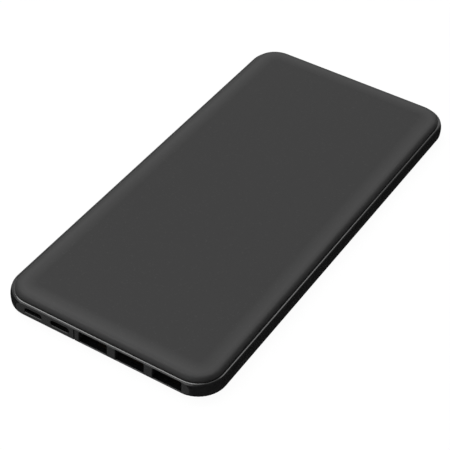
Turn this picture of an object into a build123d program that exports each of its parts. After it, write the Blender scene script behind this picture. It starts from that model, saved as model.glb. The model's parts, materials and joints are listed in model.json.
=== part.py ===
from build123d import *
import os
from math import cos, radians, sin, tan

# A slim pocket power bank lying flat. Millimetres, +Z up.
# Origin: middle of the underside. +Y runs along the length, and the ports face -Y.

# Overall size
WIDTH = 95.0
LENGTH = 200.0
HEIGHT = 10.8
CORNER_R = 12.35
PORT_FLAT_DEPTH = 0.6
PLAN_LENGTH = LENGTH + PORT_FLAT_DEPTH
PLAN_Y = -PORT_FLAT_DEPTH / 2
MID_Z = HEIGHT / 2
PORT_FACE_Y = -LENGTH / 2
NOSE_Y = PORT_FACE_Y - PORT_FLAT_DEPTH

# Frame section: inset from the widest outline, and height above or below the middle plane.
# The wall stands fuller below the middle than above it.
BULGE_INSET = 0.45
BULGE_Z = 2.4
LIP_MID_INSET = 0.8
LIP_MID_Z = 2.87
LOW_BULGE_INSET = 0.18
LOW_BULGE_Z = 2.5
LOW_LIP_MID_INSET = 0.5
LOW_LIP_MID_Z = 2.88
LIP_INSET = 1.35
LIP_Z = 3.1
COVER_INSET = 1.75
RIB_INSET = 2.85
RIB_LOW_Z = 3.05
RIB_SHOULDER_INSET = 3.35
RIB_Z = 3.6
FRAME_INNER_INSET = 3.65

# Cover section: a rolled edge, then a long shallow blend up to the flat
COVER_WALL = 1.0
ROLL_R = 2.2
BLEND_RUN = 6.8
BLEND_ANGLE = 8.0
BLEND_R = BLEND_RUN / sin(radians(BLEND_ANGLE))
BLEND_RISE = BLEND_R * (1 - cos(radians(BLEND_ANGLE)))
ROLL_X = COVER_INSET + ROLL_R
ROLL_Z = MID_Z - BLEND_RISE - ROLL_R * cos(radians(BLEND_ANGLE))
LEDGE_Z = ROLL_Z
FLAT_INSET = ROLL_X - ROLL_R * sin(radians(BLEND_ANGLE)) + BLEND_RUN

# Snap lugs that hold each cover to the frame's rib
LUG_LENGTH = 6.0
LUG_CLEARANCE = 0.15
LUG_PITCH_LONG = 52.0
LUG_X_SHORT = 24.0
LUG_TRIM = 0.8
LUG_TRIM_DEPTH = 1.0

# Port places along the front, and the divider line between inputs and outputs
MICRO_X = -31.0
USB_C_X = -18.6
DIVIDER_X = -12.0
DIVIDER_WIDTH = 0.45
DIVIDER_DEPTH = 0.9
USB_A_X = (-3.5, 12.85, 29.2)
RIM_CHAMFER = 0.2

# USB-A receptacle
A_MOUTH_W = 12.5
A_MOUTH_H = 4.95
A_MOUTH_R = 0.5
A_WALL = 0.3
A_SHELL_W = A_MOUTH_W + 2 * A_WALL
A_SHELL_H = A_MOUTH_H + 2 * A_WALL
A_SHELL_L = 13.6
A_SHELL_INSET = 2.85
A_SHELL_Y = NOSE_Y + A_SHELL_INSET
A_TONGUE_W = 11.1
A_TONGUE_T = 1.84
A_TONGUE_LOW = 0.2
A_TONGUE_RECESS = 1.6
A_TONGUE_BEVEL = 0.3
A_BACK_T = 1.6
A_LEAF_X = 3.0
A_LEAF_W = 1.8
A_LEAF_L = 4.6
A_LEAF_ROOT = 9.0
A_LEAF_TILT = 3.0
A_WINDOW_W = 2.4
A_WINDOW_L = 4.8
A_WINDOW_BACK = 2.6
A_FOOT_SIZE = (1.0, 1.6, 0.3)
A_FOOT_OUT = 0.4
A_FOOT_Y = (3.4, 11.4)
A_CONTACT_W = 1.0
A_CONTACT_T = 0.2
A_CONTACT_X = (-3.5, -1.0, 1.0, 3.5)
A_CONTACT_START = 1.2
A_CONTACT_BUMP = 0.25
A_CONTACT_BUMP_L = 1.2
A_CONTACT_TAIL = 0.6
A_CONTACT_FOOT = 0.8
A_GROOVE_SLACK = 0.02

# USB-C receptacle
C_MOUTH_W = 8.5
C_MOUTH_H = 2.6
C_WALL = 0.3
C_SHELL_L = 7.3
C_SHELL_INSET = 1.4
C_TONGUE_W = 6.7
C_TONGUE_T = 0.7
C_TONGUE_RECESS = 1.3
C_TONGUE_BEVEL = 0.15
C_BACK_T = 1.6
C_LEG_SIZE = (0.6, 1.2, 1.8)
C_LEG_OUT = 0.5
C_LEG_Y = (4.2, 6.4)
C_CONTACTS = 12
C_CONTACT_PITCH = 0.5
C_CONTACT_SIZE = (0.28, 3.6, 0.08)
C_CONTACT_Y = 3.7

# Micro-USB receptacle
M_MOUTH_W = 7.7
M_MOUTH_H = 2.3
M_SHELL_W = 7.5
M_SHELL_H = 2.6
M_WALL = 0.25
M_SHELL_L = 5.6
M_BEVEL = 0.8
M_EDGE_R = 0.25
M_POCKET_SLACK = 0.4
M_TONGUE_W = 3.7
M_TONGUE_T = 0.6
M_TONGUE_LOW = 0.15
M_TONGUE_RECESS = 0.9
M_BACK_T = 1.2
M_LEG_SIZE = (0.6, 1.6)
M_LEG_OUT = 0.1
M_LEG_Y = 3.8
M_LEG_RISE = 0.6
M_CONTACTS = 5
M_CONTACT_PITCH = 0.65
M_CONTACT_SIZE = (0.35, 3.0, 0.1)
M_CONTACT_Y = 2.7

# Main board, sunk so that the ports sit on the middle plane
BOARD_W = 84.0
BOARD_FRONT_Y = -95.6
BOARD_BACK_Y = -70.0
BOARD_T = 1.0
BOARD_TOP = MID_Z - C_MOUTH_H / 2 - C_WALL
BOARD_BOTTOM = BOARD_TOP - BOARD_T
BOARD_CORNER_CUT = (4.5, 3.5)
FIT_GAP = 0.1
SCREW_PLACES = ((-39.0, -88.5), (-39.0, -73.0), (39.5, -88.5), (35.5, -73.0))
SCREW_SHANK_R = 0.75
SCREW_HEAD_R = 1.4
SCREW_HEAD_T = 0.7
SCREW_CROSS = (1.7, 0.35, 0.3)
SCREW_BITE = 1.4
BOSS_R = 1.9
BOSS_BORE_R = 0.8
BOARD_HOLE_R = 0.95

# Parts on the main board: centres, and sizes along X, Y and Z
CHIP_BEVEL = 0.15
INDUCTOR_X = (-6.0, 10.0)
INDUCTOR_Y = -77.0
INDUCTOR_W = 7.2
INDUCTOR_H = 3.4
INDUCTOR_R = 1.0
CONTROLLER_PLACE = (-20.0, -80.0)
CONTROLLER_SIZE = (6.0, 6.0, 0.9)
POWER_CHIP_X = (-30.0, 19.5, 26.5)
POWER_CHIP_Y = -77.5
POWER_CHIP_SIZE = (4.0, 5.0, 1.0)
CAPACITOR_X = (18.0, 21.0, 24.0, 27.0)
CAPACITOR_Y = -71.6
CAPACITOR_EXTRA = ((-12.5, -78.0), (3.0, -77.0))
CAPACITOR_SIZE = (1.6, 2.6, 1.3)
LED_X = 40.9
LED_COUNT = 4
LED_PITCH = 2.2
LED_FROM_BUTTON = 5.0
LED_SIZE = (1.4, 1.3, 0.9)

# Cells, two by two, with a wire channel down the middle
CELL_W = 41.4
CELL_L = 75.5
CELL_T = 7.0
CELL_R = 1.6
CELL_END_R = 0.8
CELL_X = 22.2
CELL_FRONT_Y = (-65.5, 14.0)
CELL_SEAL_L = 2.4
CELL_SEAL_T = 0.4
CELL_SEAL_INSET = 2.0
TAPE_T = 0.3
TAPE_MARGIN = (12.0, 12.0)
CELL_BOTTOM = COVER_WALL + TAPE_T
CELL_TOP = CELL_BOTTOM + CELL_T
FOAM_T = HEIGHT - COVER_WALL - CELL_TOP
FOAM_MARGIN = (14.0, 16.0)
TAB_W = 5.0
TAB_T = 0.15
TAB_X = 9.0
FRONT_TAB_DROP_Y = -70.5
FRONT_TAB_FOOT_Y = -71.8
REAR_TAB_DROP = 2.0
REAR_TAB_FOOT = 3.2

# Link board between the two rows of cells, and the leads that run forward from it
LINK_W = 66.0
LINK_DEPTH = 3.2
LINK_T = 0.8
LINK_Z = 2.2
LINK_Y = CELL_FRONT_Y[1] - 2.0
LEAD_R = 0.65
LEAD_X = 0.75
LEAD_START = 1.0
LEAD_DIP_RUN = 9.0
LEAD_REAR_HIGH = (-9.0, 4.9)
LEAD_FRONT_HIGH = (-38.0, 5.2)
LEAD_FRONT_Y = -71.8
LEAD_RUN_SHARE = 0.45

# Power button in the right side wall, near the front
BUTTON_Y = -75.0
BUTTON_L = 5.0
BUTTON_H = 1.8
BUTTON_GAP = 0.12
BUTTON_FLANGE_T = 0.6
BUTTON_FLANGE_EXTRA = 0.9
FLANGE_PLAY = 0.05
POCKET_DEPTH_X = 2.4
SIDE_CUT_DEPTH = 6.0
SWITCH_W = 4.6
BAY_EDGE_X = 44.7
BAY_W = 7.2
BOARD_TAB_W = 6.4
BOARD_TAB_X = 44.2
SWITCH_D = 3.4
SWITCH_H = 2.2
SWITCH_BACK_T = 0.4
PLUNGER_L = 2.0
PLUNGER_H = 1.0
PLUNGER_OUT = 0.75
PLUNGER_IN = 0.8
PLUNGER_PLAY = 0.08
TOUCH_GAP = 0.03


# Helpers

def mirrored_down(shape):
    """The same shape turned over about the middle plane."""
    return mirror(shape, about=Plane.XY)


def placed(shape):
    """Moves a shape drawn about the plan's centre and the middle plane to the part's frame."""
    return Pos(0, PLAN_Y, MID_Z) * shape


def section_point(inset, z):
    """A point of a ring's section, drawn outward from the plan's corner centre."""
    return (CORNER_R - inset, z)


def ring(section):
    """Carries a section round the rounded outline: four straights and four corners."""
    corner_x = WIDTH / 2 - CORNER_R
    corner_y = PLAN_LENGTH / 2 - CORNER_R
    pieces = []
    for turn, (x, y) in enumerate(((1, 1), (-1, 1), (-1, -1), (1, -1))):
        bend = revolve(section, axis=Axis.Z, revolution_arc=90)
        pieces.append(Pos(x * corner_x, y * corner_y, 0) * Rot(0, 0, 90 * turn) * bend)
    for turn, (run, reach) in enumerate(((corner_y, corner_x), (corner_x, corner_y)) * 2):
        straight = extrude(section, amount=2 * run, dir=(0, 1, 0))
        pieces.append(Rot(0, 0, 90 * turn) * Pos(reach, -run, 0) * straight)
    return pieces[0].fuse(*pieces[1:]).clean()


def box(x, y, z, dx, dy, dz):
    """A box by its centre and its sizes."""
    return Pos(x, y, z) * Box(dx, dy, dz)


def span(x0, x1, y0, y1, z0, z1):
    """A box by its lowest and highest corners."""
    return box((x0 + x1) / 2, (y0 + y1) / 2, (z0 + z1) / 2, x1 - x0, y1 - y0, z1 - z0)


def inward(sketch, x, y, depth, taper=0):
    """Pushes a port outline, drawn upright at (x, y), into the body along +Y."""
    plane = Plane(origin=(x, y, MID_Z), x_dir=(-1, 0, 0), z_dir=(0, 1, 0))
    return extrude(plane * sketch, amount=depth, taper=taper)


def joined(shapes):
    """One node made of several separate solids."""
    return Compound(children=list(shapes))


# Frame and covers

def frame_section():
    ledge = [
        (LIP_INSET, LEDGE_Z), (RIB_INSET, LEDGE_Z), (RIB_INSET, RIB_LOW_Z),
        (RIB_SHOULDER_INSET, RIB_Z), (FRAME_INNER_INSET, RIB_Z),
    ]
    inner = [section_point(inset, z) for inset, z in ledge]
    inner += [section_point(inset, -z) for inset, z in reversed(ledge)]
    widest = section_point(0, 0)
    shoulder = section_point(BULGE_INSET, BULGE_Z)
    low_shoulder = section_point(LOW_BULGE_INSET, -LOW_BULGE_Z)
    lip = section_point(LIP_INSET, LIP_Z)
    low_lip = section_point(LIP_INSET, -LIP_Z)
    outline = [
        TangentArc(widest, shoulder, tangent=(0, 1)),
        ThreePointArc(shoulder, section_point(LIP_MID_INSET, LIP_MID_Z), lip),
        Polyline(lip, *inner, low_lip),
        ThreePointArc(low_lip, section_point(LOW_LIP_MID_INSET, -LOW_LIP_MID_Z), low_shoulder),
        TangentArc(widest, low_shoulder, tangent=(0, -1)),
    ]
    return make_face([Plane.XZ * edge for edge in outline])


def cover_section():
    """The rolled edge and blend, as far in as the flat of the cover."""
    angle = radians(BLEND_ANGLE)
    half = radians((90 - BLEND_ANGLE) / 2)
    flat_z = MID_Z

    def roll(radius, turn):
        return section_point(ROLL_X - radius * cos(turn), ROLL_Z + radius * sin(turn))

    def blend(drop, turn):
        inset = FLAT_INSET - (BLEND_R - drop) * sin(turn)
        return section_point(inset, flat_z - BLEND_R + (BLEND_R - drop) * cos(turn))

    inner_r = ROLL_R - COVER_WALL
    full = radians(90 - BLEND_ANGLE)
    outline = [
        Line(roll(inner_r, 0), roll(ROLL_R, 0)),
        ThreePointArc(roll(ROLL_R, 0), roll(ROLL_R, half), roll(ROLL_R, full)),
        ThreePointArc(roll(ROLL_R, full), blend(0, angle / 2), blend(0, 0)),
        Line(blend(0, 0), blend(COVER_WALL, 0)),
        ThreePointArc(blend(COVER_WALL, 0), blend(COVER_WALL, angle / 2), roll(inner_r, full)),
        ThreePointArc(roll(inner_r, full), roll(inner_r, half), roll(inner_r, 0)),
    ]
    return make_face([Plane.XZ * edge for edge in outline])


def cover_shell():
    """A cover above the middle plane: the edge ring, and the flat plate inside it."""
    edge = ring(cover_section())
    flat = RectangleRounded(
        WIDTH - 2 * FLAT_INSET, PLAN_LENGTH - 2 * FLAT_INSET, CORNER_R - FLAT_INSET
    )
    plate = Pos(0, 0, MID_Z - COVER_WALL) * extrude(flat, amount=COVER_WALL)
    return (edge + plate).clean()


def lug_places():
    """Centres of the snap lugs: x, y, and whether the lug lies along Y."""
    inset = (RIB_INSET + FRAME_INNER_INSET) / 2
    side_x = WIDTH / 2 - inset
    end_y = PLAN_LENGTH / 2 - inset
    sides = [(sign * side_x, row * LUG_PITCH_LONG, True) for sign in (-1, 1) for row in (-1, 0, 1)]
    back = [(sign * LUG_X_SHORT, end_y, False) for sign in (-1, 1)]
    return sides + back


def snap_lugs(grow):
    """Lugs that reach down from a cover through the frame's rib, or their slots."""
    depth = FRAME_INNER_INSET - RIB_INSET
    lugs = []
    for x, y, along_y in lug_places():
        long_side = LUG_LENGTH + 2 * grow
        dx, dy = (depth, long_side) if along_y else (long_side, depth)
        low = LEDGE_Z + FIT_GAP - grow
        lugs.append(span(x - dx / 2, x + dx / 2, y - dy / 2, y + dy / 2, low, MID_Z - COVER_WALL / 2))
    return lugs


def cover():
    lugs = [lug - trim for lug, trim in zip(snap_lugs(0), lug_trims())]
    return cover_shell().fuse(*lugs).clean()


def lug_trims():
    """Cuts each lug's outer top corner off where it would come through the rolled edge."""
    across, length = LUG_TRIM, LUG_LENGTH + 1
    low, high = MID_Z - LUG_TRIM_DEPTH, MID_Z + 1
    trims = []
    for x, y, along_y in lug_places():
        if along_y:
            outer = x + across if x > 0 else x - across
            trims.append(span(min(x, outer), max(x, outer), y - length / 2, y + length / 2, low, high))
        else:
            trims.append(span(x - length / 2, x + length / 2, y, y + across, low, high))
    return trims


def bosses():
    """Hollow screw posts on the bottom cover, up to the underside of the board."""
    posts = []
    for x, y in SCREW_PLACES:
        height = BOARD_BOTTOM - COVER_WALL
        post = Cylinder(BOSS_R, height) - Cylinder(BOSS_BORE_R, height)
        posts.append(Pos(x, y, COVER_WALL + height / 2) * post)
    return posts


def a_sketch(grow=0.0):
    return RectangleRounded(A_MOUTH_W + 2 * grow, A_MOUTH_H + 2 * grow, A_MOUTH_R + grow)


def c_sketch(grow=0.0):
    height = C_MOUTH_H + 2 * grow
    return RectangleRounded(C_MOUTH_W + 2 * grow, height, height / 2 - 0.01)


def m_sketch(width, height):
    """Micro-USB outline: flat base, and the two upper corners cut away."""
    w, h, b = width / 2, height / 2, M_BEVEL
    outline = Polyline((-w, -h), (w, -h), (w, h - b), (w - b, h), (b - w, h), (-w, h - b), close=True)
    return fillet(make_face(outline).vertices(), M_EDGE_R)


def m_mouth(grow=0.0):
    return m_sketch(M_MOUTH_W + 2 * grow, M_MOUTH_H + 2 * grow)


def mouth(sketch_of, x):
    """A port's hole through the front wall, with a chamfered rim."""
    reach = FRAME_INNER_INSET + 0.5
    hole = inward(sketch_of(0), x, PORT_FACE_Y - 1, reach + 1)
    rim = inward(sketch_of(RIM_CHAMFER), x, PORT_FACE_Y, RIM_CHAMFER, taper=45)
    return hole + rim


def port_cuts():
    depth = FRAME_INNER_INSET + 1
    cuts = []
    for x in USB_A_X:
        cuts.append(mouth(a_sketch, x))
        half = A_SHELL_W / 2 + FIT_GAP
        high = RIB_Z + 0.3
        cuts.append(span(x - half, x + half, A_SHELL_Y - FIT_GAP, A_SHELL_Y + depth,
                         MID_Z - high, MID_Z + high))
    cuts.append(mouth(c_sketch, USB_C_X))
    cuts.append(inward(c_sketch(C_WALL + FIT_GAP), USB_C_X, NOSE_Y + C_SHELL_INSET - FIT_GAP, depth))
    cuts.append(mouth(m_mouth, MICRO_X))
    pocket = m_sketch(M_SHELL_W + 2 * M_POCKET_SLACK, M_SHELL_H + 2 * FIT_GAP)
    cuts.append(inward(pocket, MICRO_X, NOSE_Y + C_SHELL_INSET - FIT_GAP, depth))
    return cuts


def button_sketch(grow=0.0):
    return SlotOverall(BUTTON_L + 2 * grow, BUTTON_H + 2 * grow)


def sideways(sketch, x, depth):
    """Pushes an upright outline at the button's place inward along -X, from x."""
    plane = Plane(origin=(x, BUTTON_Y, MID_Z), x_dir=(0, -1, 0), z_dir=(-1, 0, 0))
    return extrude(plane * sketch, amount=depth)


def flange_size():
    return (BUTTON_L + 2 * BUTTON_FLANGE_EXTRA, BUTTON_H + 2 * BUTTON_FLANGE_EXTRA)


def pocket_x():
    """The inner face of the wall that the button's flange rests behind."""
    return WIDTH / 2 - POCKET_DEPTH_X + BUTTON_FLANGE_T + FLANGE_PLAY


def make_mid_frame():
    frame = placed(ring(frame_section()))
    front = span(-WIDTH, WIDTH, NOSE_Y - 5, PORT_FACE_Y, -1, HEIGHT + 1)
    divider = span(DIVIDER_X - DIVIDER_WIDTH / 2, DIVIDER_X + DIVIDER_WIDTH / 2,
                   NOSE_Y - 1, PORT_FACE_Y + DIVIDER_DEPTH, -1, MID_Z + BULGE_Z)
    slots = [placed(slot) for slot in snap_lugs(LUG_CLEARANCE)]
    slots += [placed(mirrored_down(slot)) for slot in snap_lugs(LUG_CLEARANCE)]
    hole = sideways(button_sketch(BUTTON_GAP), WIDTH / 2 + 1, SIDE_CUT_DEPTH)
    length, height = flange_size()
    inner_x = WIDTH / 2 - SIDE_CUT_DEPTH
    pocket = span(inner_x, pocket_x(), BUTTON_Y - length / 2 - FIT_GAP,
                  BUTTON_Y + length / 2 + FIT_GAP, MID_Z - height / 2 - FIT_GAP,
                  MID_Z + height / 2 + FIT_GAP)
    bay = span(inner_x, BAY_EDGE_X, BUTTON_Y - BAY_W / 2, BUTTON_Y + BAY_W / 2,
               BOARD_BOTTOM - FIT_GAP, MID_Z + height / 2 + FIT_GAP)
    return frame.cut(front, divider, *slots, *port_cuts(), hole, pocket, bay)


def make_top_cover():
    return placed(cover())


def make_bottom_cover():
    shell = placed(mirrored_down(cover()))
    return shell.fuse(*bosses())


# Ports

def make_usb_a_shell(x):
    y = A_SHELL_Y
    outer = inward(a_sketch(A_WALL), x, y, A_SHELL_L)
    hollow = inward(a_sketch(), x, y - 1, A_SHELL_L + 1)
    shell = outer - hollow
    root_y = y + A_LEAF_ROOT
    for side in (-1, 1):
        for level in (-1, 1):
            window_x = x + side * A_LEAF_X
            wall_z = MID_Z + level * (A_MOUTH_H + A_WALL) / 2
            window = box(window_x, root_y - A_WINDOW_BACK, wall_z, A_WINDOW_W, A_WINDOW_L, 2 * A_WALL)
            leaf = Pos(window_x, root_y, wall_z) * Rot(level * A_LEAF_TILT, 0, 0)
            leaf *= Pos(0, -A_LEAF_L / 2, 0) * Box(A_LEAF_W, A_LEAF_L, A_WALL)
            shell = shell - window + leaf
        foot_x = x + side * (A_SHELL_W / 2 + A_FOOT_OUT)
        for back in A_FOOT_Y:
            shell = shell + box(foot_x, y + back, BOARD_TOP + A_FOOT_SIZE[2] / 2, *A_FOOT_SIZE)
    return shell


def make_usb_a_tongue(x):
    end_y = A_SHELL_Y + A_SHELL_L
    back = inward(a_sketch(-FIT_GAP), x, end_y - A_BACK_T, A_BACK_T)
    tip_y = A_SHELL_Y + A_TONGUE_RECESS
    blade = span(x - A_TONGUE_W / 2, x + A_TONGUE_W / 2, tip_y, end_y - A_BACK_T,
                 MID_Z + A_TONGUE_LOW, MID_Z + A_TONGUE_LOW + A_TONGUE_T)
    blade = chamfer(blade.edges().group_by(Axis.Y)[0], A_TONGUE_BEVEL)
    low = MID_Z + A_TONGUE_LOW
    half = A_CONTACT_W / 2 + A_GROOVE_SLACK
    grooves = []
    for dx in A_CONTACT_X:
        grooves.append(span(x + dx - half, x + dx + half, tip_y + A_CONTACT_START - 10 * A_GROOVE_SLACK,
                            end_y + 1, low - A_GROOVE_SLACK, low + A_CONTACT_T + A_GROOVE_SLACK))
    return (blade + back).cut(*grooves)


def make_usb_a_contacts(x):
    """Four sprung strips under the tongue, each with a tail down to the board behind."""
    end_y = A_SHELL_Y + A_SHELL_L
    tip_y = A_SHELL_Y + A_TONGUE_RECESS
    low = MID_Z + A_TONGUE_LOW
    tail_y = end_y + A_CONTACT_TAIL
    bump_y = tip_y + A_CONTACT_START + 0.8
    strips = []
    for dx in A_CONTACT_X:
        x0, x1 = x + dx - A_CONTACT_W / 2, x + dx + A_CONTACT_W / 2
        strip = span(x0, x1, tip_y + A_CONTACT_START, tail_y, low, low + A_CONTACT_T)
        bump = span(x0, x1, bump_y, bump_y + A_CONTACT_BUMP_L, low - A_CONTACT_BUMP, low)
        drop = span(x0, x1, tail_y - A_CONTACT_T, tail_y, BOARD_TOP, low)
        foot = span(x0, x1, tail_y, tail_y + A_CONTACT_FOOT, BOARD_TOP, BOARD_TOP + A_CONTACT_T)
        strips.append(strip + bump + drop + foot)
    return joined(strips)


def make_usb_c_shell():
    y = NOSE_Y + C_SHELL_INSET
    outer = inward(c_sketch(C_WALL), USB_C_X, y, C_SHELL_L)
    hollow = inward(c_sketch(), USB_C_X, y - 1, C_SHELL_L + 1)
    shell = outer - hollow
    for side in (-1, 1):
        leg_x = USB_C_X + side * (C_MOUTH_W / 2 + C_LEG_OUT)
        for back in C_LEG_Y:
            shell = shell + box(leg_x, y + back, BOARD_TOP + C_LEG_SIZE[2] / 2, *C_LEG_SIZE)
    return shell


def make_usb_c_tongue():
    y = NOSE_Y + C_SHELL_INSET
    back_y = y + C_SHELL_L - C_BACK_T
    plug = inward(c_sketch(-FIT_GAP / 2), USB_C_X, back_y, C_BACK_T)
    blade = span(USB_C_X - C_TONGUE_W / 2, USB_C_X + C_TONGUE_W / 2, y + C_TONGUE_RECESS, back_y,
                 MID_Z - C_TONGUE_T / 2, MID_Z + C_TONGUE_T / 2)
    return plug + chamfer(blade.edges().group_by(Axis.Y)[0], C_TONGUE_BEVEL)


def make_usb_c_contacts():
    y = NOSE_Y + C_SHELL_INSET + C_CONTACT_Y
    pads = []
    for level in (-1, 1):
        z = MID_Z + level * (C_TONGUE_T + C_CONTACT_SIZE[2]) / 2
        for row in range(C_CONTACTS):
            x = USB_C_X + (row - (C_CONTACTS - 1) / 2) * C_CONTACT_PITCH
            pads.append(box(x, y, z, *C_CONTACT_SIZE))
    return joined(pads)


def make_micro_shell():
    y = NOSE_Y + C_SHELL_INSET
    outer = inward(m_sketch(M_SHELL_W, M_SHELL_H), MICRO_X, y, M_SHELL_L)
    hollow = inward(m_sketch(M_SHELL_W - 2 * M_WALL, M_SHELL_H - 2 * M_WALL), MICRO_X,
                    y - 1, M_SHELL_L + 1)
    shell = outer - hollow
    leg_w, leg_l = M_LEG_SIZE
    leg_h = MID_Z + M_LEG_RISE - BOARD_TOP
    for side in (-1, 1):
        leg_x = MICRO_X + side * (M_SHELL_W / 2 + M_LEG_OUT)
        shell = shell + box(leg_x, y + M_LEG_Y, BOARD_TOP + leg_h / 2, leg_w, leg_l, leg_h)
    return shell


def make_micro_tongue():
    y = NOSE_Y + C_SHELL_INSET
    back_y = y + M_SHELL_L - M_BACK_T
    play = 2 * M_WALL + FIT_GAP
    plug = inward(m_sketch(M_SHELL_W - play, M_SHELL_H - play), MICRO_X, back_y, M_BACK_T)
    z = MID_Z + M_TONGUE_LOW
    blade = span(MICRO_X - M_TONGUE_W / 2, MICRO_X + M_TONGUE_W / 2, y + M_TONGUE_RECESS, back_y,
                 z, z + M_TONGUE_T)
    return plug + blade


def make_micro_contacts():
    y = NOSE_Y + C_SHELL_INSET + M_CONTACT_Y
    z = MID_Z + M_TONGUE_LOW - M_CONTACT_SIZE[2] / 2
    pins = []
    for row in range(M_CONTACTS):
        x = MICRO_X + (row - (M_CONTACTS - 1) / 2) * M_CONTACT_PITCH
        pins.append(box(x, y, z, *M_CONTACT_SIZE))
    return joined(pins)


# Board and what is on it

def make_main_board():
    half = BOARD_W / 2
    board = span(-half, half, BOARD_FRONT_Y, BOARD_BACK_Y, BOARD_BOTTOM, BOARD_TOP)
    board += span(0, BOARD_TAB_X, BUTTON_Y - BOARD_TAB_W / 2, BUTTON_Y + BOARD_TAB_W / 2,
                  BOARD_BOTTOM, BOARD_TOP)
    cut_x, cut_y = BOARD_CORNER_CUT
    for corner_x in (-half, half):
        board -= box(corner_x, BOARD_FRONT_Y, MID_Z, 2 * cut_x, 2 * cut_y, HEIGHT)
    for x in USB_A_X:
        notch = A_SHELL_W / 2 + FIT_GAP
        board -= span(x - notch, x + notch, BOARD_FRONT_Y - 1, A_SHELL_Y + A_SHELL_L + FIT_GAP,
                      0, HEIGHT)
    for x, y in SCREW_PLACES:
        board -= Pos(x, y, MID_Z) * Cylinder(BOARD_HOLE_R, HEIGHT)
    return board


def make_board_screws():
    low = BOARD_BOTTOM - SCREW_BITE
    long, narrow, deep = SCREW_CROSS
    screws = []
    for x, y in SCREW_PLACES:
        shank = Pos(x, y, (low + BOARD_TOP) / 2) * Cylinder(SCREW_SHANK_R, BOARD_TOP - low)
        head = Pos(x, y, BOARD_TOP + SCREW_HEAD_T / 2) * Cylinder(SCREW_HEAD_R, SCREW_HEAD_T)
        slot_z = BOARD_TOP + SCREW_HEAD_T
        cross = box(x, y, slot_z, long, narrow, 2 * deep) + box(x, y, slot_z, narrow, long, 2 * deep)
        screws.append(shank + head - cross)
    return joined(screws)


def chip(x, y, size):
    dx, dy, dz = size
    body = span(x - dx / 2, x + dx / 2, y - dy / 2, y + dy / 2, BOARD_TOP, BOARD_TOP + dz)
    return chamfer(body.edges().group_by(Axis.Z)[-1], CHIP_BEVEL)


def make_inductors():
    coils = []
    for x in INDUCTOR_X:
        body = box(x, INDUCTOR_Y, BOARD_TOP + INDUCTOR_H / 2, INDUCTOR_W, INDUCTOR_W, INDUCTOR_H)
        coils.append(fillet(body.edges().filter_by(Axis.Z), INDUCTOR_R))
    return joined(coils)


def make_controller_chip():
    return chip(*CONTROLLER_PLACE, CONTROLLER_SIZE)


def make_power_chips():
    return joined(chip(x, POWER_CHIP_Y, POWER_CHIP_SIZE) for x in POWER_CHIP_X)


def make_capacitors():
    places = [(side * x, CAPACITOR_Y) for side in (-1, 1) for x in CAPACITOR_X]
    return joined(chip(x, y, CAPACITOR_SIZE) for x, y in places + list(CAPACITOR_EXTRA))


def make_status_leds():
    return joined(chip(LED_X, y, LED_SIZE) for y in led_rows())


def led_rows():
    """Four lamps in a line along the board's right edge, just in front of the button."""
    return [BUTTON_Y - LED_FROM_BUTTON - row * LED_PITCH for row in range(LED_COUNT)]


# Cells and wiring

def cell_places():
    return [(x, y) for y in CELL_FRONT_Y for x in (-CELL_X, CELL_X)]


def make_cell(x, front_y):
    """A soft pouch with rounded long edges, and a thin sealed lip at its front end."""
    body = span(x - CELL_W / 2, x + CELL_W / 2, front_y + CELL_SEAL_L, front_y + CELL_L,
                CELL_BOTTOM, CELL_TOP)
    body = fillet(body.edges().filter_by(Axis.Y), CELL_R)
    ends = body.edges().group_by(Axis.Y)
    body = fillet(ends[0] + ends[-1], CELL_END_R)
    mid = (CELL_BOTTOM + CELL_TOP) / 2
    reach = CELL_W / 2 - CELL_SEAL_INSET
    seal = span(x - reach, x + reach, front_y, front_y + CELL_SEAL_L + 1,
                mid - CELL_SEAL_T / 2, mid + CELL_SEAL_T / 2)
    return body + seal


def make_tabs(side, floor_of_row):
    """Flat tabs out of each cell's lip, stepped down to the board in front of it."""
    mid = (CELL_BOTTOM + CELL_TOP) / 2
    tabs = []
    for x, front_y in cell_places():
        floor, drop_y, foot_y = floor_of_row[front_y]
        tab_x = x + side * TAB_X
        x0, x1 = tab_x - TAB_W / 2, tab_x + TAB_W / 2
        out = span(x0, x1, drop_y, front_y, mid - TAB_T / 2, mid + TAB_T / 2)
        drop = span(x0, x1, drop_y, drop_y + TAB_T, floor, mid + TAB_T / 2)
        foot = span(x0, x1, foot_y, drop_y + TAB_T, floor, floor + TAB_T)
        tabs.append(out + drop + foot)
    return joined(tabs)


def tab_floors():
    """For each row of cells: the board level its tabs stand on, and where they drop and end."""
    front, rear = CELL_FRONT_Y
    return {
        front: (BOARD_TOP, FRONT_TAB_DROP_Y, FRONT_TAB_FOOT_Y),
        rear: (LINK_Z + LINK_T, rear - REAR_TAB_DROP, rear - REAR_TAB_FOOT),
    }


def make_link_board():
    return box(0, LINK_Y, LINK_Z + LINK_T / 2, LINK_W, LINK_DEPTH, LINK_T)


def bend_radii(route):
    """The largest arc at each corner of a route that leaves both of its runs some straight."""
    points = [Vector(*point) for point in route]
    radii = []
    for before, corner, after in zip(points, points[1:], points[2:]):
        run_in, run_out = corner - before, after - corner
        turn = radians(run_in.get_angle(run_out))
        radii.append(LEAD_RUN_SHARE * min(run_in.length, run_out.length) / tan(turn / 2))
    return radii


def make_lead(x):
    """An insulated lead down the channel between the cells, from link board to main board."""
    link_level = LINK_Z + LINK_T + LEAD_R
    board_level = BOARD_TOP + LEAD_R
    route = [
        (x, LINK_Y + LEAD_START, link_level),
        (x, LINK_Y - LEAD_DIP_RUN, link_level),
        (x, *LEAD_REAR_HIGH),
        (x, *LEAD_FRONT_HIGH),
        (x, LEAD_FRONT_Y + LEAD_DIP_RUN, board_level),
        (x, LEAD_FRONT_Y, board_level),
    ]
    path = FilletPolyline(*route, radius=bend_radii(route))
    section = Plane(origin=path @ 0, z_dir=path % 0) * Circle(LEAD_R)
    return sweep(section, path=path)


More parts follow.
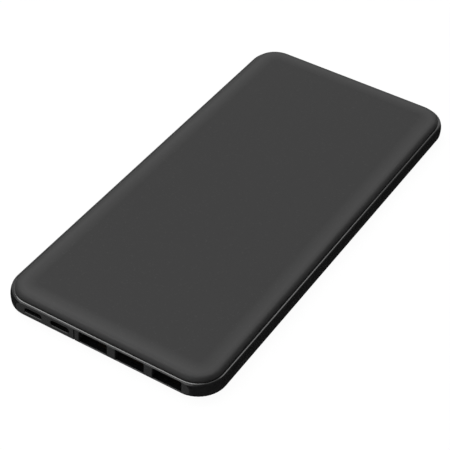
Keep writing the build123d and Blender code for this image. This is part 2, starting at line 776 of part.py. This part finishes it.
def cell_sheets(low, thickness, margin):
    """One thin sheet under or over the full part of each cell."""
    pads = []
    for x, y in cell_places():
        mid_y = y + (CELL_L + CELL_SEAL_L) / 2
        pads.append(box(x, mid_y, low + thickness / 2, CELL_W - margin[0], CELL_L - margin[1], thickness))
    return joined(pads)


def make_tapes():
    return cell_sheets(COVER_WALL, TAPE_T, TAPE_MARGIN)


def make_foam_pads():
    return cell_sheets(CELL_TOP, FOAM_T, FOAM_MARGIN)


# Power button and its switch

def make_power_button():
    """A slim key whose face follows the frame's bulge, with a flange behind the wall."""
    face_x = WIDTH / 2
    stem_end = pocket_x() - FLANGE_PLAY
    key = sideways(button_sketch(), face_x + 1, face_x + 1 - stem_end)
    bulge_r = (BULGE_Z ** 2 + BULGE_INSET ** 2) / (2 * BULGE_INSET)
    skin = Rot(90, 0, 0) * Cylinder(bulge_r, BUTTON_L * 3)
    key = key & (Pos(face_x - bulge_r, BUTTON_Y, MID_Z) * skin)
    length, height = flange_size()
    flange = span(stem_end - BUTTON_FLANGE_T, stem_end, BUTTON_Y - length / 2,
                  BUTTON_Y + length / 2, MID_Z - height / 2, MID_Z + height / 2)
    return key + flange


def plunger_tip_x():
    return WIDTH / 2 - POCKET_DEPTH_X - TOUCH_GAP


def switch_front_x():
    return plunger_tip_x() - PLUNGER_OUT


def make_tact_switch():
    """A side-push switch on the board's right edge, hollow behind its plunger."""
    front = switch_front_x()
    low = BOARD_TOP
    half = SWITCH_W / 2
    body = span(front - SWITCH_D, front, BUTTON_Y - half, BUTTON_Y + half, low, low + SWITCH_H)
    bore_l = PLUNGER_L / 2 + PLUNGER_PLAY
    bore_h = PLUNGER_H / 2 + PLUNGER_PLAY
    bore = span(front - SWITCH_D + SWITCH_BACK_T, front + 1, BUTTON_Y - bore_l, BUTTON_Y + bore_l,
                MID_Z - bore_h, MID_Z + bore_h)
    return body - bore


def make_plunger():
    tip = plunger_tip_x()
    return span(tip - PLUNGER_OUT - PLUNGER_IN, tip, BUTTON_Y - PLUNGER_L / 2, BUTTON_Y + PLUNGER_L / 2,
                MID_Z - PLUNGER_H / 2, MID_Z + PLUNGER_H / 2)


def all_nodes():
    nodes = {
        "mid_frame": make_mid_frame(),
        "top_cover": make_top_cover(),
        "bottom_cover": make_bottom_cover(),
        "main_board": make_main_board(),
        "board_screws": make_board_screws(),
        "usb_c_shell": make_usb_c_shell(),
        "usb_c_tongue": make_usb_c_tongue(),
        "usb_c_contacts": make_usb_c_contacts(),
        "micro_usb_shell": make_micro_shell(),
        "micro_usb_tongue": make_micro_tongue(),
        "micro_usb_contacts": make_micro_contacts(),
        "power_inductors": make_inductors(),
        "controller_chip": make_controller_chip(),
        "power_chips": make_power_chips(),
        "capacitors": make_capacitors(),
        "status_leds": make_status_leds(),
        "positive_tabs": make_tabs(1, tab_floors()),
        "negative_tabs": make_tabs(-1, tab_floors()),
        "cell_link_board": make_link_board(),
        "positive_lead": make_lead(LEAD_X),
        "negative_lead": make_lead(-LEAD_X),
        "cell_tapes": make_tapes(),
        "foam_pads": make_foam_pads(),
        "power_button": make_power_button(),
        "tact_switch": make_tact_switch(),
        "switch_plunger": make_plunger(),
    }
    for number, x in enumerate(USB_A_X, start=1):
        nodes[f"usb_a_shell_{number}"] = make_usb_a_shell(x)
        nodes[f"usb_a_tongue_{number}"] = make_usb_a_tongue(x)
        nodes[f"usb_a_contacts_{number}"] = make_usb_a_contacts(x)
    for number, (x, y) in enumerate(cell_places(), start=1):
        nodes[f"pouch_cell_{number}"] = make_cell(x, y)
    return nodes


os.makedirs("parts", exist_ok=True)
for name, shape in all_nodes().items():
    export_step(shape, f"parts/{name}.step")
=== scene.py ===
import json
import math

import bpy
from mathutils import Matrix, Vector


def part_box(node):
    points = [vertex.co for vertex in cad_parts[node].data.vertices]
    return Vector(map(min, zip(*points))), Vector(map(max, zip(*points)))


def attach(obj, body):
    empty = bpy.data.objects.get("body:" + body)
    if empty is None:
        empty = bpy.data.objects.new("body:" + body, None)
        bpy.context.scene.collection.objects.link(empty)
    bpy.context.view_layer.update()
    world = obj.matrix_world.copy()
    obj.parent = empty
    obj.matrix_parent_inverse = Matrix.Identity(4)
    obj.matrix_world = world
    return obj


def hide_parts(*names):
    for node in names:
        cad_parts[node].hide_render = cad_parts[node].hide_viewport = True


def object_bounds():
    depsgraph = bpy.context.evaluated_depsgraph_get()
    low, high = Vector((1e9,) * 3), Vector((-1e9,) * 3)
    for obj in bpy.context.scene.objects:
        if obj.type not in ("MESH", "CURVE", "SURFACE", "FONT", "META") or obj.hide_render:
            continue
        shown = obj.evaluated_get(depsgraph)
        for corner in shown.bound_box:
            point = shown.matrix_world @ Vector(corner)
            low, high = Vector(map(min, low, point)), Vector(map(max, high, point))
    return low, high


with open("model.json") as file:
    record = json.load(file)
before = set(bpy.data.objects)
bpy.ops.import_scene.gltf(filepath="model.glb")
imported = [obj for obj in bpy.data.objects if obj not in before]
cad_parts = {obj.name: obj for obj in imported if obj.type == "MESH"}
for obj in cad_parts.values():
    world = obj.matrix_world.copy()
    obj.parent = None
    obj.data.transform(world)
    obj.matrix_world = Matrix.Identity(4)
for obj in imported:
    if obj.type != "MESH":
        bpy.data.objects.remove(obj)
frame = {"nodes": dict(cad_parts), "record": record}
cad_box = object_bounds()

# A slim power bank lying flat, with its ports facing -Y. Metres, +Z up, in the CAD's frame.

# Outline of the case seen from above: a rounded rectangle, cut flat at the front by the port face
PORT_FLAT_DEPTH = 0.0006
CORNER_RADIUS = 0.01235
HALF_WIDTH = cad_box[1][0]
HALF_LENGTH = cad_box[1][1] + PORT_FLAT_DEPTH / 2
CENTRE_Y = -PORT_FLAT_DEPTH / 2

# Most of a noise's values lie in this stretch
NOISE_REACH = (0.3, 0.7)

# Mottling and staining, as multiples of a surface's grain, and how strongly the grain shows
CLOUD_PER_GRAIN = 60
STAIN_PER_GRAIN = 30
MOULDED_RELIEF = 0.4
METAL_RELIEF = 0.3

# Soft-touch paint: its levels of grey, and a painted highlight, a paler band along the shoulder by
# distance in from the outline, standing in for the sheen of the rolled edge
PAINT_LEVELS = (0.0245, 0.0275)
PAINTED_HIGHLIGHT_LIFT = 0.023
PAINTED_HIGHLIGHT_RISE = (0.0022, 0.0050)
PAINTED_HIGHLIGHT_FALL = (0.0052, 0.0105)
DUST_SIZE = 0.0007
DUST_LIFT = 0.010
DUST_REACH = (0.70, 0.80)

# Softening of the gloss moulding's sharp edges
EDGE_RADIUS = 0.00025
EDGE_SAMPLES = 8

# Foil pouches: divisions of the mesh, then sizes
POUCH_ACROSS = 36
POUCH_ALONG = 60
SEAM_HALF = 0.0001
LIP_LENGTH = 0.0024
LIP_INSET = 0.0020
LIP_OVERLAP = 1.5
FLAP_HEIGHT = 0.0026
FLAP_THICK = 0.0002
SIDE_ROOM = 0.0003
SMOOTH_ANGLE = math.radians(40)

# How squarely a pouch fills its box at each edge, how much it is crowned, and its creases
SIDE_SHARPNESS = 22
LIP_SHARPNESS = 14
BACK_SHARPNESS = 30
CROWN_ACROSS = 0.035
CROWN_ALONG = 0.025
WRINKLE = 0.00012
WRINKLE_REACH = 0.3
WRINKLE_SHARPNESS = 4
CREASE_TURNS = (19, 5)

# Stage
FLOOR_HALF = 3.0
FLOOR_GLOW = 0.96
BACKDROP_SIDES = 48
BACKDROP_HEIGHT = 4.0
BACKDROP_GLOW = 1.0

# Soft boxes, by place, size and radiance: the left one lights the front edge, and the back one the
# right edge
SOFT_BOXES = {
    "left_box": ((-0.45, -0.03, 1.12), (0.65, 0.95), 3.5),
    "back_box": ((0.20, 0.88, 1.22), (0.85, 0.5), 1.2),
}

# The room round the object: each entry is an axis, a stretch of how far a direction leans along
# it, and the levels at the ends of that stretch
BACK_LEFT = ((-0.28, 0.66, 0.70), (0.7, 1.0), (0.36, 0.76))
RIGHT_DIM = ((1, 0, 0), (0.1, 0.6), (1.0, 0.08))
FRONT_GLOW = ((-0.37, -0.80, 0.47), (0.7, 1.0), (0.0, 0.6))
BELOW = ((-0.373, -0.653, -0.659), (0.86, 0.97), (0.009, 0.13))
HORIZON = ((0, 0, 1), (-0.03, 0.03), (0, 1))

# Camera: azimuth from -Y towards +X, elevation and roll, in degrees, and the rest in metres and
# millimetres
CAMERA_TURNS = (29.765, 41.234, 3.209)
CAMERA_DISTANCE = 0.6093
CAMERA_TARGET = Vector((0.00072, -0.0140, 0.00347))
CAMERA_LENS_MM = 120.0
CAMERA_SENSOR_MM = 36.0
CAMERA_NEAR = 0.01


# Node helpers

def grey(level):
    """A neutral colour, with a trace of blue."""
    return (level, level, level * 1.01)


class Shader:
    """A small builder for one material's node tree, in object coordinates (metres)."""

    def __init__(self, name):
        self.material = bpy.data.materials.new(name)
        self.material.use_nodes = True
        self.tree = self.material.node_tree
        self.principled = self.tree.nodes["Principled BSDF"]
        self.place = self.tree.nodes.new("ShaderNodeTexCoord").outputs["Object"]

    def set(self, **sockets):
        for label, value in sockets.items():
            self.principled.inputs[label.replace("_", " ")].default_value = value

    def link(self, output, label):
        self.tree.links.new(output, self.principled.inputs[label])

    def noise(self, size, detail=2.0, stretch=(1, 1, 1)):
        """Noise whose features are about size metres across."""
        mapping = self.tree.nodes.new("ShaderNodeMapping")
        mapping.inputs["Scale"].default_value = [share / size for share in stretch]
        self.tree.links.new(self.place, mapping.inputs["Vector"])
        node = self.tree.nodes.new("ShaderNodeTexNoise")
        node.inputs["Scale"].default_value = 1.0
        node.inputs["Detail"].default_value = detail
        self.tree.links.new(mapping.outputs["Vector"], node.inputs["Vector"])
        return node.outputs["Fac"]

    def ramp(self, value, low, high):
        """Runs from one colour to another over a noise's reach."""
        node = self.tree.nodes.new("ShaderNodeValToRGB")
        self.tree.links.new(value, node.inputs["Fac"])
        for element, at, colour in zip(node.color_ramp.elements, NOISE_REACH, (low, high)):
            element.position = at
            element.color = (*colour, 1.0)
        return node.outputs["Color"]

    def range(self, value, levels, reach=NOISE_REACH):
        """Runs between two levels as a value crosses a stretch."""
        node = self.tree.nodes.new("ShaderNodeMapRange")
        for label, number in zip(("From Min", "From Max", "To Min", "To Max"), reach + levels):
            node.inputs[label].default_value = number
        self.tree.links.new(value, node.inputs["Value"])
        return node.outputs["Result"]

    def maths(self, operation, *values):
        """One arithmetic node; each value is a number or another node's output."""
        node = self.tree.nodes.new("ShaderNodeMath")
        node.operation = operation
        for socket, value in zip(node.inputs, values):
            if isinstance(value, (int, float)):
                socket.default_value = value
            else:
                self.tree.links.new(value, socket)
        return node.outputs[0]

    def inset(self):
        """Distance in from the outline of the case, in metres."""
        split = self.tree.nodes.new("ShaderNodeSeparateXYZ")
        self.tree.links.new(self.place, split.inputs[0])
        across = self.maths("ABSOLUTE", split.outputs["X"])
        along = self.maths("ABSOLUTE", self.maths("SUBTRACT", split.outputs["Y"], CENTRE_Y))
        x = self.maths("SUBTRACT", across, HALF_WIDTH - CORNER_RADIUS)
        y = self.maths("SUBTRACT", along, HALF_LENGTH - CORNER_RADIUS)
        squares = [self.maths("POWER", self.maths("MAXIMUM", side, 0.0), 2.0) for side in (x, y)]
        beyond = self.maths("SQRT", self.maths("ADD", *squares))
        within = self.maths("MINIMUM", self.maths("MAXIMUM", x, y), 0.0)
        return self.maths("SUBTRACT", CORNER_RADIUS, self.maths("ADD", beyond, within))

    def rounded(self, radius):
        """A normal that turns smoothly over every sharp edge."""
        node = self.tree.nodes.new("ShaderNodeBevel")
        node.samples = EDGE_SAMPLES
        node.inputs["Radius"].default_value = radius
        return node.outputs["Normal"]

    def bump(self, height, strength, depth, normal=None):
        """Relief of a depth in metres, over the mesh's own normal or a given one."""
        node = self.tree.nodes.new("ShaderNodeBump")
        node.inputs["Strength"].default_value = strength
        node.inputs["Distance"].default_value = depth
        self.tree.links.new(height, node.inputs["Height"])
        if normal:
            self.tree.links.new(normal, node.inputs["Normal"])
        self.link(node.outputs["Normal"], "Normal")


def plastic(name, low, high, rough, grain, depth, **sockets):
    """A moulded or coated surface: mottled colour, uneven roughness, fine grain."""
    shader = Shader(name)
    cloud = shader.noise(grain * CLOUD_PER_GRAIN, detail=3)
    shader.link(shader.ramp(cloud, low, high), "Base Color")
    shader.link(shader.range(cloud, rough), "Roughness")
    shader.bump(shader.noise(grain), MOULDED_RELIEF, depth)
    shader.set(**sockets)
    return shader.material


def metal(name, low, high, rough, grain, stretch=(1, 1, 1), depth=2e-6):
    """A plated or rolled surface, with its grain stretched along the working direction."""
    shader = Shader(name)
    lines = shader.noise(grain, detail=4, stretch=stretch)
    stain = shader.noise(grain * STAIN_PER_GRAIN)
    shader.link(shader.ramp(stain, low, high), "Base Color")
    shader.link(shader.range(lines, rough), "Roughness")
    shader.bump(lines, METAL_RELIEF, depth)
    shader.set(Metallic=1.0)
    return shader.material


# Materials, one function to each of the record's slots

def soft_touch_black():
    """Rubbery paint over the covers, with a painted highlight: a paler band of colour along the
    shoulder, standing in for the sheen of the rolled edge.
    """
    shader = Shader("soft_touch_black")
    cloud = shader.noise(0.012, detail=4)
    inset = shader.inset()
    # Painted highlight: a paler band along the shoulder, added into the paint's grey
    painted_highlight = shader.maths("MULTIPLY", shader.range(inset, (0.0, 1.0), PAINTED_HIGHLIGHT_RISE),
                            shader.range(inset, (1.0, 0.0), PAINTED_HIGHLIGHT_FALL))
    level = shader.maths("ADD", shader.maths("MULTIPLY", painted_highlight, PAINTED_HIGHLIGHT_LIFT),
                         shader.range(cloud, PAINT_LEVELS))
    dust = shader.range(shader.noise(DUST_SIZE, detail=0), (0.0, DUST_LIFT), DUST_REACH)
    level = shader.maths("ADD", level, dust)
    tint = shader.tree.nodes.new("ShaderNodeCombineColor")
    for label in ("Red", "Green", "Blue"):
        shader.tree.links.new(level, tint.inputs[label])
    shader.link(tint.outputs["Color"], "Base Color")
    shader.link(shader.range(cloud, (0.52, 0.58)), "Roughness")
    shader.bump(shader.noise(0.00022), 0.4, 1.2e-5)
    shader.set(Specular_IOR_Level=0.34, Sheen_Weight=0.04, Sheen_Roughness=0.5)
    return shader.material


def gloss_black():
    """Polished moulding, slightly wavy, with a hard clear coat and softly broken edges."""
    shader = Shader("gloss_black")
    wave = shader.noise(0.003)
    fine = shader.noise(0.0006)
    shader.link(shader.ramp(wave, grey(0.009), grey(0.013)), "Base Color")
    shader.link(shader.range(fine, (0.14, 0.20)), "Roughness")
    shader.bump(fine, 0.15, 4e-6, shader.rounded(EDGE_RADIUS))
    shader.set(Coat_Weight=1.0, Coat_Roughness=0.10)
    return shader.material


def button_black():
    return plastic("button_black", grey(0.012), grey(0.016), (0.2, 0.28), grain=0.0005, depth=6e-6)


def port_steel():
    return metal("port_steel", grey(0.20), grey(0.25), (0.28, 0.42), grain=0.0003, stretch=(1, 0.15, 1))


def port_plastic():
    return plastic("port_plastic", grey(0.004), grey(0.006), (0.5, 0.65), grain=0.0002, depth=1e-5,
                   Specular_IOR_Level=0.3)


def contact_gold():
    return metal("contact_gold", (0.70, 0.50, 0.20), (0.85, 0.64, 0.30), (0.2, 0.35), grain=0.0004)


def board_laminate():
    return plastic("board_laminate", (0.006, 0.07, 0.035), (0.012, 0.11, 0.055), (0.25, 0.4),
                   grain=0.0004, depth=1e-5)


def screw_steel():
    return metal("screw_steel", grey(0.45), grey(0.6), (0.25, 0.4), grain=0.0003)


def ferrite():
    return plastic("ferrite", grey(0.03), grey(0.06), (0.55, 0.75), grain=0.0002, depth=2e-5)


def chip_black():
    return plastic("chip_black", grey(0.012), grey(0.02), (0.5, 0.65), grain=0.0002, depth=8e-6)


def ceramic():
    return plastic("ceramic", (0.30, 0.21, 0.12), (0.42, 0.31, 0.19), (0.4, 0.55), grain=0.0003,
                   depth=8e-6)


def lamp_lens():
    return plastic("lamp_lens", grey(0.7), grey(0.8), (0.08, 0.15), grain=0.0006, depth=3e-6)


def tab_nickel():
    return metal("tab_nickel", grey(0.5), grey(0.62), (0.25, 0.4), grain=0.0004, stretch=(1, 0.2, 1))


def lead_red():
    return plastic("lead_red", (0.30, 0.008, 0.008), (0.4, 0.015, 0.012), (0.4, 0.5), grain=0.0004,
                   depth=8e-6)


def lead_black():
    return plastic("lead_black", grey(0.012), grey(0.02), (0.4, 0.5), grain=0.0004, depth=8e-6)


def tape():
    return plastic("tape", grey(0.6), grey(0.7), (0.5, 0.7), grain=0.0006, depth=1e-5)


def foam():
    return plastic("foam", grey(0.02), grey(0.035), (0.8, 0.95), grain=0.0004, depth=8e-5)


def pouch_foil():
    return metal("pouch_foil", grey(0.55), grey(0.66), (0.3, 0.45), grain=0.002, depth=3e-5)


def switch_body():
    return plastic("switch_body", grey(0.02), grey(0.03), (0.45, 0.6), grain=0.0003, depth=8e-6)


def switch_plunger():
    return plastic("switch_plunger", grey(0.5), grey(0.58), (0.4, 0.5), grain=0.0003, depth=8e-6)


MAKERS = (soft_touch_black, gloss_black, button_black, port_steel, port_plastic, contact_gold,
          board_laminate, screw_steel, ferrite, chip_black, ceramic, lamp_lens, tab_nickel, lead_red,
          lead_black, tape, foam, pouch_foil, switch_body, switch_plunger)


def dress_frame(materials):
    """Gives each CAD node the finish of its record slot."""
    slots = {part["node"]: part["material_slot"] for part in frame["record"]["subparts"]}
    for node, obj in frame["nodes"].items():
        obj.data.materials.clear()
        obj.data.materials.append(materials[slots[node]])


# Foil pouches in place of the cells' plain solids

def swell(side, sharpness):
    """How full the pouch stands, from 1 in the middle to 0 at an edge."""
    return max(0.0, 1 - abs(side) ** sharpness) ** (1 / sharpness)


def pouch_height(across, along, half_height):
    """Half thickness at a place given as -1 to 1 across, and -1 at the lip to 1 at the back."""
    end_sharpness = LIP_SHARPNESS if along < 0 else BACK_SHARPNESS
    full = swell(across, SIDE_SHARPNESS) * swell(along, end_sharpness)
    crown = 1 - CROWN_ACROSS * across ** 2 - CROWN_ALONG * along ** 4
    near_lip = max(0.0, WRINKLE_REACH - 1 - along) / WRINKLE_REACH
    wave = math.sin(CREASE_TURNS[0] * across + CREASE_TURNS[1] * along)
    crease = WRINKLE * near_lip * wave * swell(across, WRINKLE_SHARPNESS)
    return SEAM_HALF + (half_height - SEAM_HALF - WRINKLE) * full * crown + crease * full


def spread(step, steps):
    """A place from -1 to 1, with the steps closer together towards both ends."""
    return math.sin((2 * step / steps - 1) * math.pi / 2)


def pouch_points(low, high):
    """The upper sheet of the filled part, then the lower one, row by row from the lip."""
    middle = (low + high) / 2
    half = (high - low) / 2
    points = []
    for level in (1, -1):
        for j in range(POUCH_ALONG + 1):
            along = spread(j, POUCH_ALONG)
            for i in range(POUCH_ACROSS + 1):
                across = spread(i, POUCH_ACROSS)
                rise = pouch_height(across, along, half.z)
                points.append(middle + Vector((across * half.x, along * half.y, level * rise)))
    return points


def pouch_faces():
    """The faces of both sheets, and those that join them round the seam."""
    columns = POUCH_ACROSS + 1
    sheet = columns * (POUCH_ALONG + 1)
    faces = []
    for j in range(POUCH_ALONG):
        for i in range(POUCH_ACROSS):
            a = j * columns + i
            quad = (a, a + 1, a + 1 + columns, a + columns)
            faces.append(quad)
            faces.append(tuple(sheet + corner for corner in reversed(quad)))
    rim = list(range(columns))
    rim += [j * columns + POUCH_ACROSS for j in range(1, POUCH_ALONG + 1)]
    rim += [POUCH_ALONG * columns + i for i in reversed(range(POUCH_ACROSS))]
    rim += [j * columns for j in reversed(range(1, POUCH_ALONG))]
    return faces + [(b, a, a + sheet, b + sheet) for a, b in zip(rim, rim[1:] + rim[:1])]


def strip(low, high):
    """Points and faces of a thin strip of foil between two corners."""
    plan = ((low.x, low.y), (high.x, low.y), (high.x, high.y), (low.x, high.y))
    points = [Vector((x, y, z)) for z in (low.z, high.z) for x, y in plan]
    sides = [(i, (i + 1) % 4, (i + 1) % 4 + 4, i + 4) for i in range(4)]
    return points, [(3, 2, 1, 0), (4, 5, 6, 7)] + sides


def pouch_shapes(low, high):
    """The parts of a pouch: the filled part, the front lip, and a flap up each side."""
    middle = (low + high) / 2
    aside = Vector((SIDE_ROOM, 0, 0))
    fill_low = low + aside + Vector((0, LIP_LENGTH, 0))
    lip_low = Vector((low.x + LIP_INSET, low.y, middle.z - SEAM_HALF))
    lip_high = Vector((high.x - LIP_INSET, low.y + LIP_LENGTH * LIP_OVERLAP, middle.z + SEAM_HALF))
    shapes = [(pouch_points(fill_low, high - aside), pouch_faces()), strip(lip_low, lip_high)]
    for x in (low.x, high.x - FLAP_THICK):
        flap_low = Vector((x, fill_low.y + LIP_LENGTH, middle.z - SEAM_HALF))
        flap_high = Vector((x + FLAP_THICK, high.y - LIP_LENGTH, middle.z + FLAP_HEIGHT))
        shapes.append(strip(flap_low, flap_high))
    return shapes


def make_pouch(node, foil):
    """A cell as it is made: a filled pouch, side seams folded up against it, and a flat front lip."""
    low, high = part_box(node)
    points = []
    faces = []
    for some_points, some_faces in pouch_shapes(low, high):
        faces += [tuple(len(points) + corner for corner in face) for face in some_faces]
        points += some_points
    mesh = bpy.data.meshes.new(f"foil_{node}")
    mesh.from_pydata(points, [], faces)
    mesh.shade_smooth()
    mesh.set_sharp_from_angle(angle=SMOOTH_ANGLE)
    mesh.materials.append(foil)
    pouch = bpy.data.objects.new(f"foil_{node}", mesh)
    bpy.context.collection.objects.link(pouch)
    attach(pouch, "case")
    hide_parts(node)


# Stage, light and camera

def paper(name, glow):
    """Plain white studio paper with a faint fibre, lit from within so that it stays even."""
    shader = Shader(name)
    fibre = shader.noise(0.004, detail=3)
    shader.link(shader.ramp(fibre, grey(0.06), grey(0.07)), "Base Color")
    shader.link(shader.range(fibre, (0.85, 0.95)), "Roughness")
    shader.set(Specular_IOR_Level=0.0, Emission_Color=(1, 1, 1, 1), Emission_Strength=glow)
    return shader.material


def stage_piece(name, points, faces, material):
    """A piece of the stage, which the object's gloss doesn't mirror."""
    mesh = bpy.data.meshes.new(name)
    mesh.from_pydata(points, [], faces)
    mesh.materials.append(material)
    piece = bpy.data.objects.new(name, mesh)
    piece.visible_glossy = False
    bpy.context.collection.objects.link(piece)
    return piece


def make_floor():
    half = FLOOR_HALF
    corners = [(-half, -half, 0), (half, -half, 0), (half, half, 0), (-half, half, 0)]
    stage_piece("floor", corners, [(0, 1, 2, 3)], paper("floor_paper", FLOOR_GLOW))


def make_backdrop():
    """A pale round wall far from the object, which only the camera sees."""
    turns = [2 * math.pi * side / BACKDROP_SIDES for side in range(BACKDROP_SIDES)]
    rim = [(FLOOR_HALF * math.cos(turn), FLOOR_HALF * math.sin(turn)) for turn in turns]
    points = [(x, y, z) for z in (0, BACKDROP_HEIGHT) for x, y in rim]
    sides = [(side, (side + 1) % BACKDROP_SIDES) for side in range(BACKDROP_SIDES)]
    faces = [(a, b, b + BACKDROP_SIDES, a + BACKDROP_SIDES) for a, b in sides]
    wall = stage_piece("backdrop", points, faces, paper("wall_paper", BACKDROP_GLOW))
    wall.visible_diffuse = False
    wall.visible_shadow = False


def make_soft_box(name, place, size, radiance):
    """A rectangular light aimed at the origin, whose face has the given radiance."""
    data = bpy.data.lights.new(name, "AREA")
    data.shape = "RECTANGLE"
    data.size, data.size_y = size
    data.energy = radiance * math.pi * size[0] * size[1]
    light = bpy.data.objects.new(name, data)
    light.location = place
    light.rotation_euler = (-Vector(place)).to_track_quat("-Z", "Y").to_euler()
    bpy.context.collection.objects.link(light)


def lean_level(tree, direction, axis, reach, levels):
    """A level that runs between two values with how far a direction leans along an axis."""
    lean = tree.nodes.new("ShaderNodeVectorMath")
    lean.operation = "DOT_PRODUCT"
    lean.inputs[1].default_value = axis
    tree.links.new(direction, lean.inputs[0])
    node = tree.nodes.new("ShaderNodeMapRange")
    node.interpolation_type = "SMOOTHSTEP"
    for label, value in zip(("From Min", "From Max", "To Min", "To Max"), reach + levels):
        node.inputs[label].default_value = value
    tree.links.new(lean.outputs["Value"], node.inputs["Value"])
    return node.outputs["Result"]


def make_world():
    """Pale at the back left, dim on the right, a low glow in front, and nearly black below."""
    world = bpy.data.worlds.new("studio")
    world.use_nodes = True
    bpy.context.scene.world = world
    tree = world.node_tree
    direction = tree.nodes.new("ShaderNodeTexCoord").outputs["Generated"]
    above = tree.nodes.new("ShaderNodeMath")
    above.operation = "MULTIPLY_ADD"
    for lobe, socket in zip((BACK_LEFT, RIGHT_DIM, FRONT_GLOW), above.inputs):
        tree.links.new(lean_level(tree, direction, *lobe), socket)
    # A plain mix has its factor in socket 0 and the two levels in sockets 2 and 3
    mix = tree.nodes.new("ShaderNodeMix")
    tree.links.new(lean_level(tree, direction, *HORIZON), mix.inputs[0])
    tree.links.new(lean_level(tree, direction, *BELOW), mix.inputs[2])
    tree.links.new(above.outputs[0], mix.inputs[3])
    tree.links.new(mix.outputs[0], tree.nodes["Background"].inputs["Color"])


def make_camera():
    azimuth, elevation, roll = (math.radians(turn) for turn in CAMERA_TURNS)
    back = Vector((math.sin(azimuth) * math.cos(elevation),
                   -math.cos(azimuth) * math.cos(elevation), math.sin(elevation)))
    level = Vector((math.cos(azimuth), math.sin(azimuth), 0))
    right = level * math.cos(roll) + back.cross(level) * math.sin(roll)
    data = bpy.data.cameras.new("camera")
    data.sensor_width = CAMERA_SENSOR_MM
    data.lens = CAMERA_LENS_MM
    data.clip_start = CAMERA_NEAR
    camera = bpy.data.objects.new("camera", data)
    turn = Matrix((right, back.cross(right), back)).transposed().to_4x4()
    camera.matrix_world = Matrix.Translation(CAMERA_TARGET + back * CAMERA_DISTANCE) @ turn
    bpy.context.collection.objects.link(camera)
    bpy.context.scene.camera = camera


materials = {make.__name__: make() for make in MAKERS}
dress_frame(materials)
for node in sorted(frame["nodes"]):
    if node.startswith("pouch_cell"):
        make_pouch(node, materials["pouch_foil"])
make_floor()
make_backdrop()
make_world()
for name, (place, size, radiance) in SOFT_BOXES.items():
    make_soft_box(name, place, size, radiance)
make_camera()
bpy.context.scene.view_settings.view_transform = "Standard"
